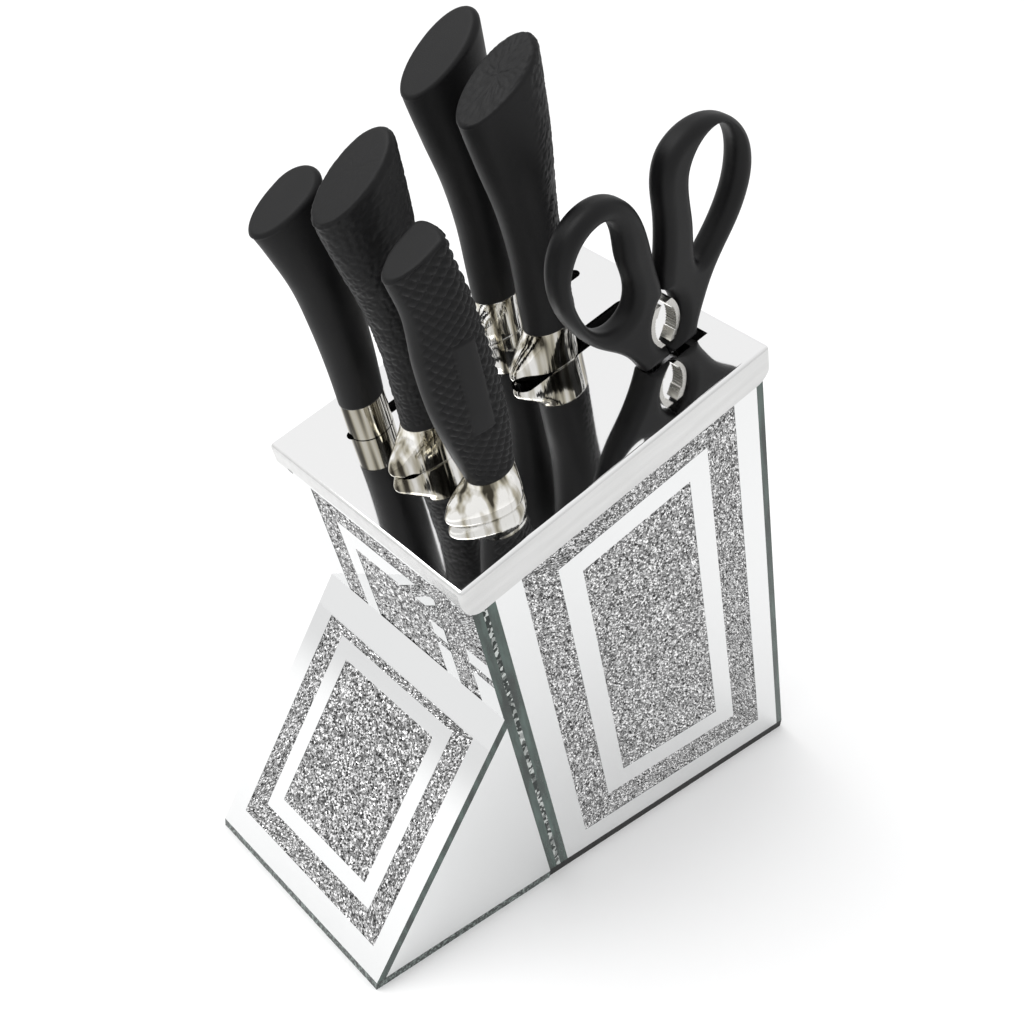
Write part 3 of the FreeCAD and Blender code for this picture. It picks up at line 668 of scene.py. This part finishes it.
def bolster(name, table, nose, seat_half, spot, body, replaced):
    """A chrome collar that runs down from the grip into a finger guard with a rounded nose."""
    foot, front, rear, half = table[0]
    angle = np.linspace(0, 2 * np.pi, GUARD_AROUND, endpoint=False)
    reach = np.cos(angle)
    low, top = GUARD[0][0], GUARD[-1][0]
    neck, widest = GUARD[-1][1], GUARD[WIDEST][1]
    rings = []
    for height in np.linspace(low, top, GUARD_RINGS):
        share = (smooth_table(GUARD, height)[0] - neck) / (widest - neck)
        reach_front = front + share * (nose - front)
        width = half + share * (seat_half - half)
        u = low + (height - low) * (foot - low) / (top - low)
        v = np.where(reach > 0, rear, reach_front) * reach
        y = width * np.sin(angle) * (1 - NOSE_PINCH * share * np.maximum(0, -reach) ** 2)
        rings.append(np.stack((v, y, np.full(GUARD_AROUND, u)), 1))
    points = place(turned(np.array(rings), *spot)).reshape(-1, 3)
    make_piece(name, points, ring_faces(GUARD_RINGS, GUARD_AROUND), CHROME, body,
               replaced)


# (v, u) of each end plane at the front and at the rear
LARGE_ENDS = ((-19.3, 110.5), (14.4, 127.5))
SMALL_ENDS = ((-17.6, 106.5), (4.5, 115.5))
STEEL_ENDS = ((-19.3, 98.5), (10.4, 109.0))


def tools():
    """The knives' grips and bolsters, and the steel's grip."""
    # name, table, ends, (v, y, turn), texture, nose reach, seat half width
    knives = (
        ("carving_knife", LARGE_GRIP, LARGE_ENDS, (39.4, 3.0, 0.0), hammered, 21.4, 7.9),
        ("paring_knife", SMALL_GRIP, SMALL_ENDS, (36.8, -31.3, -5.0), knurled, 20.4, 10.4),
        ("bread_knife", LARGE_GRIP, LARGE_ENDS, (99.0, 33.0, 0.0), plain, 21.4, 7.6),
        ("chef_knife", LARGE_GRIP, LARGE_ENDS, (98.9, 4.6, 0.0), dimpled, 21.9, 7.4),
    )
    for name, table, ends, spot, texture, nose, seat in knives:
        grip(name + "_grip", table, ends, spot, texture, name, (name + "_handle",))
        bolster(name + "_guard", table, nose, seat, spot, name, (name + "_bolster",))
    spot = (30.6, 31.5, 0.0)
    grip("steel_grip", STEEL_GRIP, STEEL_ENDS, spot, plain, "sharpening_steel", ("steel_handle",))


# ---------------------------------------------------------------- shears
GRIP_VOXEL = 0.55    # mm between the remeshed handle's points
GRIP_ROUND = 4.2     # radius of the handle's edges, mm
GRIP_RELAX = 6       # smoothing passes at the end
ROUND_PASSES = 3     # the points settle on the rounded surface by then
ROUND_FROM = 0.3     # points nearer the handle's core than this share of the radius stay
WALL_NEAR = 0.12     # within this many mm of the outline, its own normal is used
PROBE = 0.02         # mm from the outline to a point that tells inside from outside


def outline_segments(mesh, low_y):
    """The 2D outline (x, z) of a flat solid: boundary edges of its face at low_y."""
    points = np.array([v.co for v in mesh.vertices])
    keys = [tuple(np.round(p, 6)) for p in points]
    edges = {}
    for polygon in mesh.polygons:
        corners = [keys[i] for i in polygon.vertices]
        if any(abs(corner[1] - low_y) > 1e-5 for corner in corners):
            continue
        for i, corner in enumerate(corners):
            pair = frozenset((corner, corners[(i + 1) % len(corners)]))
            edges[pair] = edges.get(pair, 0) + 1
    pairs = [tuple(pair) for pair, uses in edges.items() if uses == 1 and len(pair) == 2]
    return np.array([[(a[0], a[2]), (b[0], b[2])] for a, b in pairs])


def is_inside(segments, points):
    """Even-odd test of 2D points against an outline."""
    inside = np.zeros(len(points), bool)
    for a, b in segments:
        crosses = (a[1] > points[:, 1]) != (b[1] > points[:, 1])
        rise = b[1] - a[1] if b[1] != a[1] else 1.0
        at = a[0] + (points[:, 1] - a[1]) / rise * (b[0] - a[0])
        inside ^= crosses & (points[:, 0] < at)
    return inside


def inward_normals(segments):
    """A unit normal into the solid for each outline segment."""
    along = segments[:, 1] - segments[:, 0]
    normals = np.stack((-along[:, 1], along[:, 0]), 1)
    normals /= np.maximum(np.linalg.norm(normals, axis=1), 1e-12)[:, None]
    probe = segments.mean(1) + PROBE * MM * normals
    return normals * np.where(is_inside(segments, probe), 1.0, -1.0)[:, None]


def signed_depth(segments, normals, points):
    """Depth inside the outline and the inward direction, for each 2D point."""
    best = np.full(len(points), np.inf)
    spot = np.zeros_like(points)
    wall = np.zeros_like(points)
    for (a, b), normal in zip(segments, normals):
        along = b - a
        t = np.clip(((points - a) @ along) / max(along @ along, 1e-18), 0, 1)
        foot = a + t[:, None] * along
        gap = np.linalg.norm(points - foot, axis=1)
        closer = gap < best
        best[closer] = gap[closer]
        spot[closer] = foot[closer]
        wall[closer] = normal
    depth = best * np.where(is_inside(segments, points), 1.0, -1.0)
    away = (points - spot) / np.where(np.abs(depth) < 1e-9, 1.0, depth)[:, None]
    close = best < WALL_NEAR * MM
    away[close] = wall[close]
    return depth, away


def round_edges(points, segments, middle_y, half, radius):
    """Moves points of a flat solid onto the same solid with its edges rounded."""
    normals = inward_normals(segments)
    for _ in range(ROUND_PASSES):
        depth, inward = signed_depth(segments, normals, points[:, [0, 2]])
        q1 = np.maximum(radius - depth, 0)
        offset = points[:, 1] - middle_y
        q2 = np.maximum(np.abs(offset) - (half - radius), 0)
        size = np.hypot(q1, q2)
        near = size > ROUND_FROM * radius
        size = np.maximum(size, 1e-9)
        out = np.where(near, size - radius, 0)
        points[:, [0, 2]] += inward * (out * q1 / size)[:, None]
        points[:, 1] -= np.sign(offset) * out * q2 / size
    return points


def shears_grip(name, node, body):
    """A shears handle from its CAD solid, remeshed finely, with its edges rounded to a loop."""
    source = frame["nodes"][node]
    low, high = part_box(node)
    segments = outline_segments(source.data, low.y)
    piece = bpy.data.objects.new(name, source.data.copy())
    bpy.context.scene.collection.objects.link(piece)
    remesh = piece.modifiers.new("fine", "REMESH")
    remesh.mode = "VOXEL"
    remesh.voxel_size = GRIP_VOXEL * MM
    bpy.context.view_layer.update()
    evaluated = piece.evaluated_get(bpy.context.evaluated_depsgraph_get())
    mesh = bpy.data.meshes.new_from_object(evaluated)
    points = np.array([v.co for v in mesh.vertices])
    points = round_edges(points, segments, (low.y + high.y) / 2, (high.y - low.y) / 2, GRIP_ROUND * MM)
    mesh.vertices.foreach_set("co", points.ravel())
    piece.modifiers.clear()
    piece.data = mesh
    relax = piece.modifiers.new("relax", "SMOOTH")
    relax.factor = 0.5
    relax.iterations = GRIP_RELAX
    mesh.materials.clear()
    mesh.materials.append(GRIP)
    mesh.polygons.foreach_set("use_smooth", [True] * len(mesh.polygons))
    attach(piece, body)
    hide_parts(node)


def shears():
    shears_grip("front_shears_grip", "shears_front_handle", "shears")
    shears_grip("rear_shears_grip", "shears_rear_handle", "shears_rear_half")


# ---------------------------------------------------------------- stage
FLOOR_HALF = 6.0  # metres


def stage():
    """A pale floor under the block."""
    material, tree, shader = new_material("pale_floor", (0.93, 0.93, 0.93), 0.9)
    speck = noise_node(tree, 3.0, 2.0)
    set_colour(tree, shader, speck.outputs["Fac"],
               ((0.3, (0.93, 0.93, 0.93)), (0.7, (0.945, 0.945, 0.945))))
    half = FLOOR_HALF
    mesh = bpy.data.meshes.new("floor")
    mesh.from_pydata([(-half, -half, 0), (half, -half, 0), (half, half, 0), (-half, half, 0)],
                     [], [(0, 1, 2, 3)])
    mesh.materials.append(material)
    floor = bpy.data.objects.new("floor", mesh)
    bpy.context.scene.collection.objects.link(floor)


def area_light(name, size, power, spot, aim):
    """A round soft lamp at spot that points at aim."""
    data = bpy.data.lights.new(name, "AREA")
    data.shape = "DISK"
    data.size = size
    data.energy = power
    lamp = bpy.data.objects.new(name, data)
    bpy.context.scene.collection.objects.link(lamp)
    lamp.location = spot
    direction = Vector(aim) - Vector(spot)
    lamp.rotation_mode = "QUATERNION"
    lamp.rotation_quaternion = direction.to_track_quat("-Z", "Y")


def lighting():
    """A white room, brighter behind and to the left, and one large soft lamp."""
    world = bpy.data.worlds.new("studio")
    bpy.context.scene.world = world
    world.use_nodes = True
    tree = world.node_tree
    back = tree.nodes["Background"]
    coords = add_node(tree, "ShaderNodeTexCoord")
    dot = add_node(tree, "ShaderNodeVectorMath", operation="DOT_PRODUCT")
    dot.inputs[1].default_value = Vector((-0.5, 0.45, 0.75)).normalized()
    tree.links.new(coords.outputs["Generated"], dot.inputs[0])
    level = ramp_node(tree, dot.outputs["Value"],
                      ((0.0, (0.95, 0.95, 0.953)), (0.55, (0.97, 0.97, 0.973)), (0.9, (1.0, 1.0, 1.0))))
    tree.links.new(level.outputs["Color"], back.inputs["Color"])
    back.inputs["Strength"].default_value = 1.0
    area_light("key", size=1.4, power=14.0, spot=(-0.7, 0.5, 1.6), aim=(0.0, 0.0, 0.1))
    bpy.context.scene.view_settings.view_transform = "Standard"


# bearing is clockwise from +Y, tilt is below the horizon
CAMERA_SPOT = (-0.34989, -0.32777, 0.48153)
CAMERA_BEARING = math.radians(45.017)
CAMERA_TILT = math.radians(35.202)
CAMERA_ROLL = math.radians(5.878)
CAMERA_SENSOR = 36.0  # mm
CAMERA_LENS = 51.86   # mm


def camera():
    """The photograph's viewpoint: in front and to the near side, looking down."""
    data = bpy.data.cameras.new("camera")
    data.sensor_width = CAMERA_SENSOR
    data.lens = CAMERA_LENS
    cam = bpy.data.objects.new("camera", data)
    bpy.context.scene.collection.objects.link(cam)
    bpy.context.scene.camera = cam
    turn = (Matrix.Rotation(-CAMERA_BEARING, 3, "Z") @ Matrix.Rotation(math.pi / 2 - CAMERA_TILT, 3, "X")
            @ Matrix.Rotation(CAMERA_ROLL, 3, "Z"))
    cam.matrix_world = Matrix.Translation(Vector(CAMERA_SPOT)) @ turn.to_4x4()


dress_nodes()
crystals()
tools()
shears()
stage()
lighting()
camera()
